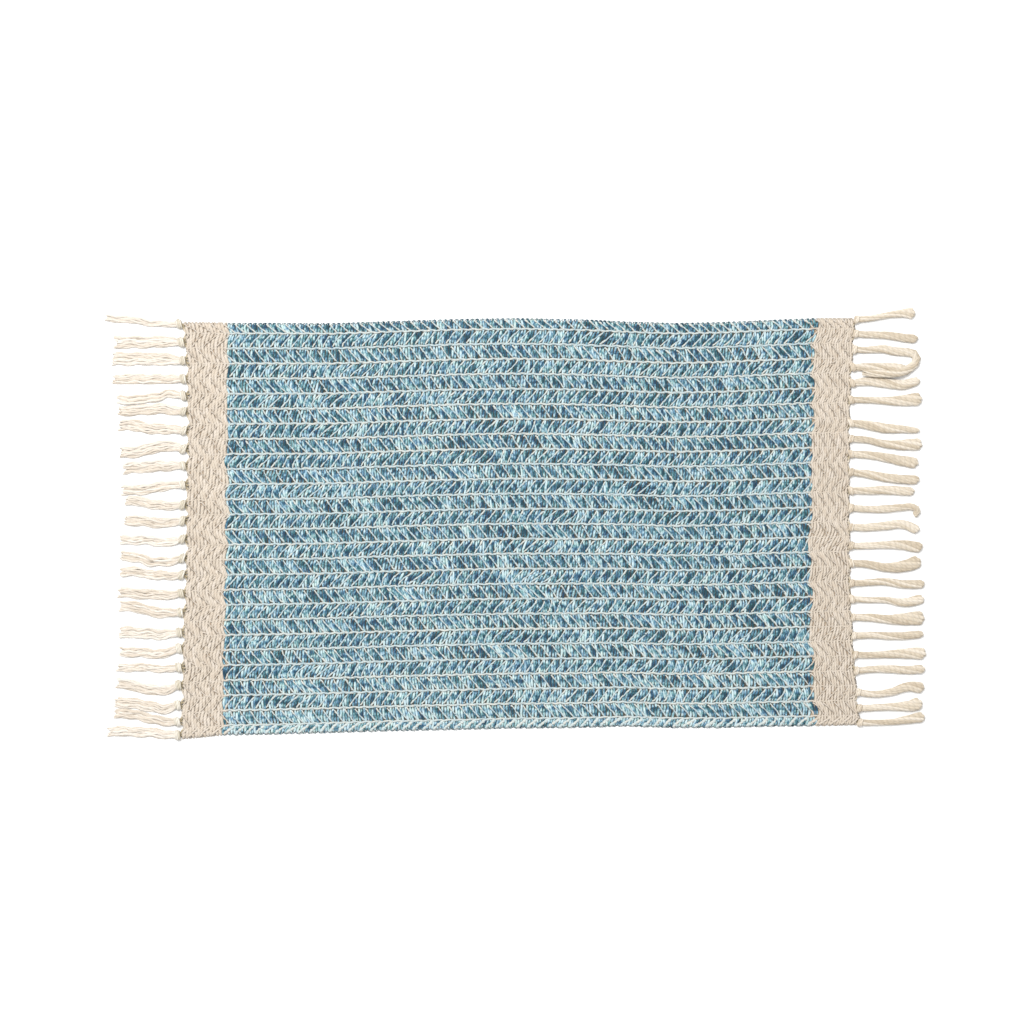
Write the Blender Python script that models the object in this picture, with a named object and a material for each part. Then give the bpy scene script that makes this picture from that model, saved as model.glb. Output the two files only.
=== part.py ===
"""A flat-woven cotton floor mat with a knotted fringe at both ends.

The cloth lies flat in the XY plane with its ribs along X. Its top face carries 28 soft ribs, and
the blue field and the two cream end bands are woven in one piece. At each end a narrow strip of
bundled warp ends lies just off the cloth. 24 knots stand on it, and each knot lets go a bundle of
loose strands that rest on the floor. X runs along the length, Y across, Z up from the floor.
"""

from collections import namedtuple

import bmesh
import bpy
import numpy as np

MM = 0.001

# The cloth, in millimetres.
RIB_COUNT = 28
FIRST_RIB = 12.0  # the part rib along the +Y edge
LAST_RIB = 11.0  # the part rib along the -Y edge
RIB_TOP = 4.2
RIB_VALLEY = 3.2
BAND_TOP = 3.8  # the cream ends are woven of finer yarn
BAND_VALLEY = 3.3
SELVEDGE_TOP = 2.7
SHOULDERS = (0.26, 0.74)  # where a rib's rounded back begins and ends, as shares of its width
SIDE_HEIGHT = 1.4  # the side of the cloth stands out most at this height
TOP_INSET = 1.2
FOOT_INSET = 0.7

# Across places of the two long edges at stations along the length. The first and last station are
# the cloth's ends, and their neighbours are where the cream bands meet the blue field.
Station = namedtuple("Station", "along upper lower")
STATIONS = [
    Station(-396, 242.4, -258.0),
    Station(-344, 241.6, -253.6),
    Station(-284, 241.6, -252.6),
    Station(-222, 241.2, -250.8),
    Station(-150, 243.6, -248.6),
    Station(-78, 246.0, -247.2),
    Station(-6, 247.2, -245.4),
    Station(66, 246.0, -244.8),
    Station(126, 243.4, -243.0),
    Station(186, 241.2, -244.8),
    Station(240, 242.4, -244.8),
    Station(300, 245.0, -243.2),
    Station(354, 247.2, -242.4),
    Station(404, 247.2, -241.2),
]

# Along places of the cloth's two ends at levels across the width.
Level = namedtuple("Level", "across left right")
LEVELS = [
    Level(-258, -398.5, 411.0),
    Level(-235, -398.5, 410.5),
    Level(-187, -397.0, 407.0),
    Level(-139, -396.5, 403.5),
    Level(-91, -394.5, 401.0),
    Level(-30, -392.5, 399.8),
    Level(40, -392.5, 399.6),
    Level(101, -390.8, 399.6),
    Level(149, -391.5, 400.0),
    Level(188, -391.5, 402.0),
    Level(215, -393.5, 404.5),
    Level(250, -398.0, 406.5),
]

# The fringe, in millimetres.
STRIP_GAP = 0.4  # between the cloth and the strip of warp ends
STRIP_WIDTH = 2.6
STRIP_HEIGHT = 3.0
STRIP_FRONT = STRIP_GAP + STRIP_WIDTH  # its outer wall, out from the cloth's end
STRIP_OVERHANG = 0.8  # the strip runs this far past its outermost knots
ROOT_WIDTH = 7.0
STRAND_GAP = 0.4
STRAND_PITCH = 2.5
LOOSE_STRANDS = (3, 5)  # fewest and most strands lying side by side in a loose bundle
TIGHT_STRANDS = 2  # strands side by side in each layer of a tight bundle
STRAND_HEIGHT = 2.3
STRAND_TAPER = 0.72  # width of a strand's back as a share of its foot
TIP_SHARE = 0.6  # a strand's tip as a share of its full section
TIP_STEPS = (0.0, 4.0, 1.5, 5.5, 2.5)  # how much shorter each strand is than its bundle
NEAR, MIDDLE, FAR = 22.0, 44.0, 63.0  # distances out from the cloth's end
NEAR_SHARE = 0.85  # a bundle's width at NEAR as a share of its width along the way
HOOK_TURNS = (90, 30, -30, -90)  # the points of a curled tip, in degrees round its middle
OUTWARDS = {"left": -1.0, "right": 1.0}
Marks = namedtuple("Marks", "across up")  # a corner's place in its knot, -1 to 1 and 0 to 1

# Rings of a knot: distance out from the strip, width, height, and how much its back is arched.
Ring = namedtuple("Ring", "out width height arch")
LOOSE_KNOT = [Ring(2.2, 9.4, 6.2, 0.4), Ring(5.4, 9.4, 6.0, 0.4), Ring(7.6, 6.6, 2.6, 0.1)]
TIGHT_KNOT = [Ring(2.2, 9.0, 6.6, 0.4), Ring(5.2, 9.0, 6.4, 0.4), Ring(7.2, 5.4, 4.4, 0.2)]

# A bundle's root is its place across the cloth's end. near, middle, far and tip are how far it has
# drifted sideways from there, reach is its length from the cloth's end, width and spread are its
# width along the way and at the tip, and hook is how far the tip curls back towards -Y.
Bundle = namedtuple("Bundle", "root near middle far tip reach width spread hook")
LEFT_BUNDLES = [
    Bundle(240, 0, 2, 5, 7, 96, 7, 7, 0),
    Bundle(218, 1, 0, 0, 0, 88, 12, 13, 0),
    Bundle(196, 1, 2, 2, 2, 92, 13, 14, 0),
    Bundle(174, 0, 0, 0, 0, 92, 10, 10, 0),
    Bundle(154, 2, -3, -5, -5, 87, 9, 9, 0),
    Bundle(135, 2, 3, 1, 1, 86, 11, 10, 0),
    Bundle(112, 2, 2, 6, 7, 86, 11, 12, 0),
    Bundle(90, 4, 1, -3, -5, 84, 12, 12, 0),
    Bundle(70, 0, -1, -2, -3, 80, 12, 13, 0),
    Bundle(47, 0, -4, -6, -6, 81, 11, 11, 0),
    Bundle(23, -1, 1, 5, 5, 76, 10, 10, 0),
    Bundle(4, -2, -2, 0, 1, 77, 11, 11, 0),
    Bundle(-18, -4, -2, -1, -1, 82, 10, 10, 0),
    Bundle(-41, -4, -4, 1, 3, 82, 10, 10, 0),
    Bundle(-61, -1, 1, 4, 4, 81, 10, 10, 0),
    Bundle(-83, -2, -1, 0, 1, 83, 11, 11, 0),
    Bundle(-106, -1, 2, 7, 8, 81, 11, 11, 0),
    Bundle(-130, -2, -1, 0, 0, 80, 12, 12, 0),
    Bundle(-149, -6, -6, -5, -4, 79, 10, 10, 0),
    Bundle(-172, -2, 0, 0, 0, 82, 8, 9, 0),
    Bundle(-193, -6, -5, 0, 2, 82, 11, 11, 0),
    Bundle(-217, -5, -1, 2, 3, 83, 11, 11, 0),
    Bundle(-237, 0, 5, 9, 10, 83, 10, 10, 0),
    Bundle(-253, 1, 3, 4, 4, 91, 10, 10, 0),
]
RIGHT_BUNDLES = [
    Bundle(245, 2, 6, 8, 8, 74, 6, 11, 0),
    Bundle(228, -1, -2, -5, -6, 78, 7, 8, 0),
    Bundle(209, 0, 0, -3, -4, 79, 7, 6, 17),
    Bundle(188, 0, -2, -5, -8, 72, 7, 7, 0),
    Bundle(169, 2, 0, -2, 3, 85, 9, 8, 0),
    Bundle(149, 0, -1, -1, 1, 88, 7, 12, 0),
    Bundle(121, -2, -6, -7, -9, 86, 9, 5, 0),
    Bundle(102, -1, -6, -7, -6, 89, 7, 11, 0),
    Bundle(84, -1, -4, -8, -11, 84, 8, 10, 0),
    Bundle(62, -2, -6, -8, -9, 86, 8, 8, 0),
    Bundle(40, 0, 1, 0, -1, 80, 8, 8, 0),
    Bundle(19, -1, -1, 1, 1, 86, 7, 6, 9),
    Bundle(-4, 0, 2, 4, -3, 86, 8, 8, 0),
    Bundle(-26, 0, 1, 1, -2, 89, 7, 10, 0),
    Bundle(-47, -1, -5, -4, 2, 87, 8, 12, 0),
    Bundle(-71, 1, 2, -1, -1, 91, 7, 8, 0),
    Bundle(-90, -1, -1, -4, 0, 90, 6, 9, 0),
    Bundle(-112, 0, -2, -2, 0, 89, 8, 13, 0),
    Bundle(-134, 1, 0, 0, 2, 87, 7, 7, 0),
    Bundle(-157, 0, 1, 2, 2, 88, 7, 11, 0),
    Bundle(-176, 2, 2, 1, 2, 86, 7, 8, 0),
    Bundle(-202, -2, 1, 7, 6, 83, 7, 10, 0),
    Bundle(-221, 1, 2, 3, 6, 79, 7, 12, 0),
    Bundle(-238, 0, 1, 4, 7, 81, 6, 10, 0),
]


def cotton(name, colour):
    """A dull woven cotton of one mean colour."""
    material = bpy.data.materials.new(name)
    material.use_nodes = True
    shader = material.node_tree.nodes["Principled BSDF"]
    shader.inputs["Base Color"].default_value = (*colour, 1.0)
    shader.inputs["Roughness"].default_value = 0.92
    shader.inputs["Metallic"].default_value = 0.0
    return material


def add_object(name, bm, materials, collection):
    """Closes the mesh's account: normals out, millimetres to metres, one object."""
    bmesh.ops.recalc_face_normals(bm, faces=bm.faces)
    bmesh.ops.scale(bm, vec=(MM, MM, MM), verts=bm.verts)
    mesh = bpy.data.meshes.new(name)
    bm.to_mesh(mesh)
    bm.free()
    for material in materials:
        mesh.materials.append(material)
    mesh.shade_smooth()
    mesh.set_sharp_from_angle(angle=np.radians(50))
    collection.objects.link(bpy.data.objects.new(name, mesh))


def column_of(table, name):
    return np.array([getattr(row, name) for row in table], float)


def end_at(across, side):
    """Along place of the cloth's end at a place across it."""
    return float(np.interp(across, column_of(LEVELS, "across"), column_of(LEVELS, side)))


def rib_lines():
    """Shares of the cloth's width, from the -Y edge, at each point of the ribbed section."""
    widths = np.full(RIB_COUNT, 1.0)
    inner = column_of(STATIONS, "upper").mean() - column_of(STATIONS, "lower").mean()
    widths[1:-1] = (inner - FIRST_RIB - LAST_RIB) / (RIB_COUNT - 2)
    widths[0], widths[-1] = LAST_RIB, FIRST_RIB
    lines = np.concatenate([[0.0], np.cumsum(widths)])
    points = []
    for low, high in zip(lines[:-1], lines[1:]):
        points += [low] + [low + share * (high - low) for share in SHOULDERS]
    return np.array(points + [lines[-1]]) / lines[-1]


def rib_height(row, last_row, column, last_column):
    """Height of the top face at a point of the grid."""
    if row in (0, last_row) or column in (0, last_column):
        return SELVEDGE_TOP
    in_band = column in (1, last_column - 1)
    if row % 3:
        return BAND_TOP if in_band else RIB_TOP
    return BAND_VALLEY if in_band else RIB_VALLEY


def cloth_point(row_share, station, inset_x, inset_y, column_side):
    """Place on the cloth's plan, drawn in from its outline by the insets."""
    across = station.lower + row_share * (station.upper - station.lower)
    along = station.along
    if column_side:
        along = end_at(across, column_side)
        along += inset_x if column_side == "left" else -inset_x
    if row_share in (0.0, 1.0):
        across += inset_y if row_share == 0.0 else -inset_y
    return along, across


def make_cloth(materials, collection):
    """A grid for the ribbed top, drawn down at its border to a rounded side and a flat foot."""
    shares = rib_lines()
    last_row, last_column = len(shares) - 1, len(STATIONS) - 1
    bm = bmesh.new()
    column_mark = bm.verts.layers.int.new("column")
    row_mark = bm.verts.layers.int.new("row")
    bmesh.ops.create_grid(bm, x_segments=last_column, y_segments=last_row, size=1.0)
    for vert in bm.verts:
        vert[column_mark] = round((vert.co.x + 1) / 2 * last_column)
        vert[row_mark] = round((vert.co.y + 1) / 2 * last_row)

    def set_ring(verts, inset, height):
        for vert in verts:
            column, row = vert[column_mark], vert[row_mark]
            side = {0: "left", last_column: "right"}.get(column)
            share = float(shares[row])
            x, y = cloth_point(share, STATIONS[column], inset, inset, side)
            z = rib_height(row, last_row, column, last_column) if height is None else height
            vert.co = (x, y, z)

    set_ring(bm.verts, TOP_INSET, None)
    for face in bm.faces:
        columns = {vert[column_mark] for vert in face.verts}
        face.material_index = int(0 in columns or last_column in columns)
    for inset, height in ((0.0, SIDE_HEIGHT), (FOOT_INSET, 0.0)):
        border = [edge for edge in bm.edges if edge.is_boundary]
        made = bmesh.ops.extrude_edge_only(bm, edges=border)["geom"]
        set_ring([item for item in made if isinstance(item, bmesh.types.BMVert)], inset, height)
    bmesh.ops.holes_fill(bm, edges=[edge for edge in bm.edges if edge.is_boundary], sides=0)
    add_object("woven_mat", bm, materials, collection)


def strand_count(bundle):
    fewest, most = LOOSE_STRANDS
    return max(fewest, min(most, round(bundle.width / STRAND_PITCH)))


def path_of(bundle, cut):
    """Points (out, drift, width) down the middle of a bundle, to the tip of a strand cut short."""
    points = [
        (NEAR, bundle.near, bundle.width * NEAR_SHARE),
        (MIDDLE, bundle.middle, bundle.width),
        (FAR, bundle.far, (bundle.width + bundle.spread) / 2),
    ]
    if not bundle.hook:
        return points + [(bundle.reach - cut, bundle.tip, bundle.spread)]
    radius = bundle.hook / 2
    centre = bundle.reach - radius - bundle.spread / 2
    for turn in np.radians(HOOK_TURNS):
        out = centre + radius * np.cos(turn)
        points.append((out, bundle.tip - radius + radius * np.sin(turn), bundle.spread))
    return points


def sideways_of(places):
    """Unit direction to the bundle's left at each place of a path after the first."""
    steps = np.diff(np.array(places, float), axis=0)
    steps /= np.linalg.norm(steps, axis=1)[:, None]
    ahead = np.vstack([steps[1:], steps[-1:]]) + steps
    ahead /= np.linalg.norm(ahead, axis=1)[:, None]
    return np.stack([-ahead[:, 1], ahead[:, 0]], 1)


def corners_of(faces):
    return {vert for face in faces for vert in face.verts}


def make_strip(bm, marks, places, side, layers):
    """The strip along the cloth's end, as a wall of cells drawn in to its thickness. Returns the
    cells of its outer wall by column and layer."""
    outwards = OUTWARDS[side]
    columns = len(places) - 1
    bmesh.ops.create_grid(bm, x_segments=columns, y_segments=layers, size=1.0)
    cells = {}
    for face in bm.faces:
        middle = face.calc_center_median()
        column = int((middle.x + 1) / 2 * columns)
        cells[column, int((middle.y + 1) / 2 * layers)] = face
    for vert in bm.verts:
        place = places[round((vert.co.x + 1) / 2 * columns)]
        up = (vert.co.y + 1) / 2
        vert[marks.up] = up
        vert.co = (end_at(place, side) + outwards * STRIP_FRONT, place, up * STRIP_HEIGHT)
    back = bmesh.ops.extrude_face_region(bm, geom=bm.faces[:])["geom"]
    for item in back:
        if isinstance(item, bmesh.types.BMVert):
            item.co.x -= outwards * STRIP_WIDTH
    return cells


def make_knot(bm, marks, patch, bundle, side, rings):
    """Draws a patch of the strip out through a knot's rings and returns the knot's front cells."""
    end = end_at(bundle.root, side)
    for vert in corners_of(patch):
        vert[marks.across] = (vert.co.y - bundle.root) / (ROOT_WIDTH / 2)
    for ring in rings:
        made = bmesh.ops.extrude_face_region(bm, geom=patch)["geom"]
        bmesh.ops.delete(bm, geom=patch, context="FACES")
        patch = [item for item in made if isinstance(item, bmesh.types.BMFace)]
        for vert in corners_of(patch):
            across, up = vert[marks.across], vert[marks.up]
            z = up * ring.height * (1 - ring.arch * across * across)
            x = end + OUTWARDS[side] * (STRIP_FRONT + ring.out)
            vert.co = (x, bundle.root + across * ring.width / 2, z)
    return patch


def make_strand(bm, marks, cell, bundle, side, count, layers, neck):
    """Draws one cell of a knot's front out along the bundle, level on the floor or on the strands
    below it."""
    across = [vert[marks.across] for vert in cell.verts]
    up = [vert[marks.up] for vert in cell.verts]
    middle = (min(across) + max(across)) / 2
    corners = [(a > middle, u > min(up)) for a, u in zip(across, up)]
    index = int((middle + 1) / 2 * count)
    layer = round(min(up) * layers)
    cut = TIP_STEPS[(index + 2 * layer + abs(bundle.root)) % len(TIP_STEPS)]
    path = path_of(bundle, cut)
    sideways = sideways_of([(neck, 0.0)] + [point[:2] for point in path])
    end = end_at(bundle.root, side)
    foot = layer * (STRAND_HEIGHT + STRAND_GAP)
    for step, ((out, drift, width), square) in enumerate(zip(path, sideways)):
        cell = bmesh.ops.extrude_discrete_faces(bm, faces=[cell])["faces"][0]
        share = TIP_SHARE if step == len(path) - 1 else 1.0
        pitch = (width + STRAND_GAP) / count
        centre = (index - (count - 1) / 2) * pitch
        for vert, (left, top) in zip(cell.verts, corners):
            half = (pitch - STRAND_GAP) / 2 * share * (STRAND_TAPER if top else 1.0)
            offset = centre + (half if left else -half)
            x = end + OUTWARDS[side] * (out + offset * square[0])
            y = bundle.root + drift + offset * square[1]
            vert.co = (x, y, foot + (STRAND_HEIGHT * share if top else 0.0))


def make_fringe(name, bundles, side, layers, rings, material, collection):
    """A strip along the cloth's end, a knot drawn out of it for each bundle, and the strands drawn
    out of each knot's front, all as one body."""
    bundles = sorted(bundles, key=lambda bundle: bundle.root)
    counts = [strand_count(bundle) if layers == 1 else TIGHT_STRANDS for bundle in bundles]
    places, firsts = [bundles[0].root - ROOT_WIDTH / 2 - STRIP_OVERHANG], []
    for bundle, count in zip(bundles, counts):
        firsts.append(len(places))
        places += list(bundle.root + ROOT_WIDTH * (np.arange(count + 1) / count - 0.5))
    places.append(bundles[-1].root + ROOT_WIDTH / 2 + STRIP_OVERHANG)
    bm = bmesh.new()
    marks = Marks(bm.verts.layers.float.new("across"), bm.verts.layers.float.new("up"))
    cells = make_strip(bm, marks, places, side, layers)
    neck = STRIP_FRONT + rings[-1].out
    for bundle, count, first in zip(bundles, counts, firsts):
        patch = [cells[first + i, j] for i in range(count) for j in range(layers)]
        for cell in make_knot(bm, marks, patch, bundle, side, rings):
            make_strand(bm, marks, cell, bundle, side, count, layers, neck)
    add_object(name, bm, [material], collection)


def build():
    for old in list(bpy.data.objects):
        bpy.data.objects.remove(old, do_unlink=True)
    collection = bpy.data.collections.new("fringed_floor_mat")
    bpy.context.scene.collection.children.link(collection)
    blue = cotton("blue_woven_cotton", (0.16, 0.34, 0.44))
    cream = cotton("cream_woven_cotton", (0.72, 0.58, 0.45))
    yarn = cotton("cream_cotton_yarn", (0.76, 0.66, 0.51))
    make_cloth([blue, cream], collection)
    make_fringe("fringe_left", LEFT_BUNDLES, "left", 1, LOOSE_KNOT, yarn, collection)
    make_fringe("fringe_right", RIGHT_BUNDLES, "right", 2, TIGHT_KNOT, yarn, collection)


build()
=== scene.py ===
"""The looks of a flat-woven cotton floor mat: blue herringbone field, cream bands, knotted fringe."""
from collections import namedtuple

import bmesh
import bpy
import numpy as np
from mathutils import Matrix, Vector


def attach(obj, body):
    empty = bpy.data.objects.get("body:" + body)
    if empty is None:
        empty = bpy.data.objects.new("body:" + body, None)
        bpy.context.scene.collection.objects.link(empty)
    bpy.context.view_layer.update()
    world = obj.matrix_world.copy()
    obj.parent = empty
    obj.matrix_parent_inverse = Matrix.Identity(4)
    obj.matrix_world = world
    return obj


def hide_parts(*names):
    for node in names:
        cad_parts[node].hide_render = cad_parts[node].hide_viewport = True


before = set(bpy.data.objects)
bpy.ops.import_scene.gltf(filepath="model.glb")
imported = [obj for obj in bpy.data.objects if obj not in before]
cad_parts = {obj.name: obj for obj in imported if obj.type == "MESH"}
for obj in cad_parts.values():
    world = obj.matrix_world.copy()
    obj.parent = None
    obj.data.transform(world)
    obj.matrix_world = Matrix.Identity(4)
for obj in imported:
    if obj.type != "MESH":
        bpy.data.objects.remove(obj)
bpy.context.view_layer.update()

# The painted shade under the weave
# The mat is one flat-woven cotton cloth, and all of it follows the plan given here. Inside the
# weave lies a thin sheet of painted shade, dark under the blue and tan in the bands, which shows
# through the small gaps.
MM = 0.001  # metres: lengths are in millimetres where nothing else is said
GROUND_LOW, GROUND_HIGH = 1.25, 1.55
GROUND_INSET = 1.6  # from the cloth's ends
GROUND_ROW_INSET = 0.15  # of a row, from its long edges
PICK_PITCH = 3.06  # from one pick to the next
GROUND_SEAMS_MIDDLE, GROUND_SEAM_AWAY = 0.004, 0.3495  # metres: past this the tan of a band starts
MOTTLES = 500.0  # to a metre

# Thin cream warp runs along X in 28 rows of three ends, with a pair of ends lying close between
# two rows as a cream line. Thick weft crosses it along Y, blue in the field and cream in the two
# end bands, and the edges wander as a hand-trimmed cloth's do.

# The two long edges across the cloth, in millimetres, at stations along it.
Station = namedtuple("Station", "along upper lower")
STATIONS = [
    Station(-396, 242.4, -258.0),
    Station(-344, 241.6, -253.6),
    Station(-284, 241.6, -252.6),
    Station(-222, 241.2, -250.8),
    Station(-150, 243.6, -248.6),
    Station(-78, 246.0, -247.2),
    Station(-6, 247.2, -245.4),
    Station(66, 246.0, -244.8),
    Station(126, 243.4, -243.0),
    Station(186, 241.2, -244.8),
    Station(240, 242.4, -244.8),
    Station(300, 245.0, -243.2),
    Station(354, 247.2, -242.4),
    Station(404, 247.2, -241.2),
]

# The cloth's ends and the seams where the weft changes colour, at levels across it.
Level = namedtuple("Level", "across left left_seam right_seam right")
LEVELS = [
    Level(-258, -398.5, -349.0, 363.5, 411.0),
    Level(-235, -398.5, -350.0, 362.5, 410.5),
    Level(-187, -397.0, -348.8, 356.5, 407.0),
    Level(-139, -396.5, -348.2, 354.8, 403.5),
    Level(-91, -394.5, -347.0, 353.6, 401.0),
    Level(-30, -392.5, -345.0, 352.5, 399.8),
    Level(40, -392.5, -344.4, 354.6, 399.6),
    Level(101, -390.8, -344.4, 356.0, 399.6),
    Level(149, -391.5, -344.2, 357.0, 400.0),
    Level(188, -391.5, -343.4, 357.4, 402.0),
    Level(215, -393.5, -343.8, 358.5, 404.5),
    Level(250, -398.0, -342.0, 362.5, 406.5),
]

REPEAT = 4  # picks from one cream diagonal to the next, and steps up a row
FIELD_REPEATS = 57
FIELD_PICKS = REPEAT * FIELD_REPEATS
LEFT_PICKS, RIGHT_PICKS = 13, 15  # of the bands: the left one's weft is a little thicker
PICKS = LEFT_PICKS + FIELD_PICKS + RIGHT_PICKS
ROWS = 28
BOTTOM_ROW, TOP_ROW = 11.0, 12.0  # the part rows along the two long edges
LEAN = 1.2  # a pick leans this far either way as the herringbone turns
EDGE_INSET = 1.0  # the weft turns back this far inside the cloth's long edges
SEAM_BULGE = 1.5  # the blue swells this far into the bands between two lines
WANDER = 1.4  # hand beating leaves the picks this far off their even places
WAVES = np.random.default_rng(5).uniform((0.05, 1.0, 0.0), (0.28, 3.0, 6.28), (16, 3))


def column_of(table, name):
    return np.array([getattr(row, name) for row in table], float)


def row_share(row):
    """Share of the cloth's width at a height counted in rows from the -Y edge."""
    inner = (column_of(STATIONS, "upper") - column_of(STATIONS, "lower")).mean()
    full = (inner - BOTTOM_ROW - TOP_ROW) / (ROWS - 2)
    lines = np.concatenate([[0.0, BOTTOM_ROW], np.full(ROWS - 2, full), [TOP_ROW]]).cumsum()
    return np.interp(row, np.arange(ROWS + 1), lines / lines[-1])


def swing(row):
    """From -1 at even lines to 1 at odd ones: rows slant right and left by turns."""
    return 1.0 - 2.0 * np.abs(row % 2 - 1.0)


def strayed(column, row):
    """How far the picks have strayed along the cloth at a point of the weave, in millimetres."""
    waves = [np.sin(column * ahead + row * up + start) for ahead, up, start in WAVES]
    inside = np.clip(np.minimum(column, PICKS - column) / 6, 0, 1)
    return WANDER * inside * np.sum(waves, axis=0) / np.sqrt(len(WAVES) / 2)


def mark_at(across, name):
    """Along place of one of the cloth's ends or seams, at a place across it."""
    return np.interp(across, column_of(LEVELS, "across"), column_of(LEVELS, name))


def place(column, row):
    """Plan position in millimetres of a point of the weave, counted in picks and rows."""
    column, row = np.broadcast_arrays(np.asarray(column, float), np.asarray(row, float))
    share = row_share(row)
    # A rough place along the cloth is near enough to read its two long edges there.
    near = np.interp(column, [0, LEFT_PICKS, PICKS - RIGHT_PICKS, PICKS], [-396, -344, 354, 404])
    low = np.interp(near, column_of(STATIONS, "along"), column_of(STATIONS, "lower")) + EDGE_INSET
    high = np.interp(near, column_of(STATIONS, "along"), column_of(STATIONS, "upper")) - EDGE_INSET
    across = low + share * (high - low)
    marks = [mark_at(across, name) for name in ("left", "left_seam", "right_seam", "right")]
    bulge = SEAM_BULGE * np.abs(np.sin(np.pi * row))
    marks[1] = marks[1] - bulge
    marks[2] = marks[2] + bulge
    seams = [0, LEFT_PICKS, PICKS - RIGHT_PICKS, PICKS]
    along = np.zeros_like(across)
    for first in range(3):
        part = (column - seams[first]) / (seams[first + 1] - seams[first])
        inside = (part > 0 if first else part > -9) & (part <= 1 if first < 2 else part < 9)
        along = np.where(inside, marks[first] + part * (marks[first + 1] - marks[first]), along)
    return along + LEAN * swing(row) + strayed(column, row), across


def make_shade_sheet():
    bm = bmesh.new()
    columns, rows = 60, 2 * ROWS
    bmesh.ops.create_grid(bm, x_segments=columns, y_segments=rows, size=1.0)
    inset = GROUND_INSET / PICK_PITCH
    for vert in bm.verts:
        column = inset + (vert.co.x + 1) / 2 * (PICKS - 2 * inset)
        row = (vert.co.y + 1) / 2 * ROWS
        row = np.clip(row, GROUND_ROW_INSET, ROWS - GROUND_ROW_INSET)
        x, y = place(column, row)
        vert.co = (float(x) * MM, float(y) * MM, GROUND_HIGH * MM)
    mesh = bpy.data.meshes.new("painted_shade_sheet")
    bm.to_mesh(mesh)
    bm.free()
    mesh.shade_smooth()
    return mesh


def new_object(name, data):
    """A new object of the scene, at the origin."""
    made = bpy.data.objects.new(name, data)
    bpy.context.scene.collection.objects.link(made)
    return made


def new_material(name, looks):
    """A new material, its node tree and its shader, with these values on the shader's sockets."""
    material = bpy.data.materials.new(name)
    material.use_nodes = True
    shader = material.node_tree.nodes["Principled BSDF"]
    for socket, value in looks.items():
        shader.inputs[socket].default_value = value
    return material, material.node_tree, shader


def linear(hex_colour):
    """An sRGB hex colour as linear light, with alpha 1."""
    parts = [int(hex_colour[i : i + 2], 16) / 255 for i in (1, 3, 5)]
    return (*[c / 12.92 if c <= 0.04045 else ((c + 0.055) / 1.055) ** 2.4 for c in parts], 1.0)


def add(tree, kind, inputs=None, **settings):
    """Adds one node with its settings. inputs maps a socket to a value or to another's output."""
    node = tree.nodes.new(kind)
    for name, value in settings.items():
        setattr(node, name, value)
    for socket, value in (inputs or {}).items():
        if isinstance(value, bpy.types.NodeSocket):
            tree.links.new(value, node.inputs[socket])
        else:
            node.inputs[socket].default_value = value
    return node


def maths(tree, operation, *values):
    """The result of one math node. Each value is a number or another node's output."""
    return add(tree, "ShaderNodeMath", dict(enumerate(values)), operation=operation).outputs[0]


def noise(tree, at, scale, **inputs):
    """Soft noise around 0.5, with a detail of 2 unless another is given."""
    inputs = {"Vector": at, "Scale": scale, "Detail": 2.0, **inputs}
    return add(tree, "ShaderNodeTexNoise", inputs).outputs["Fac"]


def mixed(tree, share, first, second, **settings):
    """Two colours mixed, with that share of the second."""
    inputs = {0: share, 6: first, 7: second}
    return add(tree, "ShaderNodeMix", inputs, data_type="RGBA", **settings).outputs[2]


def painted_shade_cotton():
    """Painted shade for the thin sheet inside the weave: dark warm grey under the blue, tan in the
    bands.
    """
    looks = {"Roughness": 0.95, "Specular IOR Level": 0.1}
    material, tree, shader = new_material("painted_shade_in_weave_gaps", looks)
    at = add(tree, "ShaderNodeTexCoord").outputs["Object"]
    along = add(tree, "ShaderNodeSeparateXYZ", {0: at}).outputs[0]
    away = maths(tree, "ABSOLUTE", maths(tree, "SUBTRACT", along, GROUND_SEAMS_MIDDLE))
    band = maths(tree, "GREATER_THAN", away, GROUND_SEAM_AWAY)
    mottle = noise(tree, at, MOTTLES)
    blue = mixed(tree, mottle, linear("#45423a"), linear("#625d52"))
    cream = mixed(tree, mottle, linear("#a38e77"), linear("#b7a48d"))
    tree.links.new(mixed(tree, band, blue, cream), shader.inputs["Base Color"])
    return material


ground_mesh = make_shade_sheet()
ground_mesh.materials.append(painted_shade_cotton())
ground = new_object("painted_shade_sheet", ground_mesh)
wall = ground.modifiers.new("thickness", "SOLIDIFY")
wall.thickness = (GROUND_HIGH - GROUND_LOW) * MM
wall.offset = -1.0
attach(ground, "root")
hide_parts("woven_mat")

# The blue weft
# Thick soft cotton yarn, plied from dark teal, mid blue, light blue and aqua ends. It is beaten in
# at four picks to a diagonal, floats over the warp between two diagonals and dips under each.
PICK_TOP, PICK_FOOT, PICK_HALF_WIDTH = 3.55, 0.6, 1.55  # of a float
PICK_ARCH = 0.3  # a float rises this much more in the middle of its row
DIP_TOP, DIP_FOOT, DIP_HALF_WIDTH = 2.3, 0.15, 1.2  # under a diagonal's middle end
LINE_DIP_TOP, LINE_DIP_HALF_WIDTH = 2.6, 1.45
PIT_TOP, PIT_EDGE_TOP, PIT_HALF_WIDTH = 1.3, 1.65, 0.55
BAND_PICK_TOP, BAND_LINE_DIP_TOP = 3.4, 3.05
BAND_HALF_WIDTHS = (2.15, 1.75)  # of the left band's picks and the right band's
BAND_DIP_TOP, BAND_DIP_HALF_WIDTH = 1.8, 1.0
OFF_FLOOR = 0.15  # the weft stays this far off the floor
BAND_SLACK, FIELD_SLACK, FLOAT_SLACK = 0.2, 0.15, 0.5  # chance shifts along the cloth
HEIGHT_CHANCE, WIDTH_CHANCE = 0.12, 0.07
CLOTH_WIDTH, SELVEDGE = 490.0, 3.0  # the weft rounds off over the selvedge
TURN_ASIDE, TURN_OUT, TURN_HEIGHT = 1.45, 0.5, 1.3
TURN_WIDE, TURN_HIGH = 0.55, 0.6  # shares of the pick's own section
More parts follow.
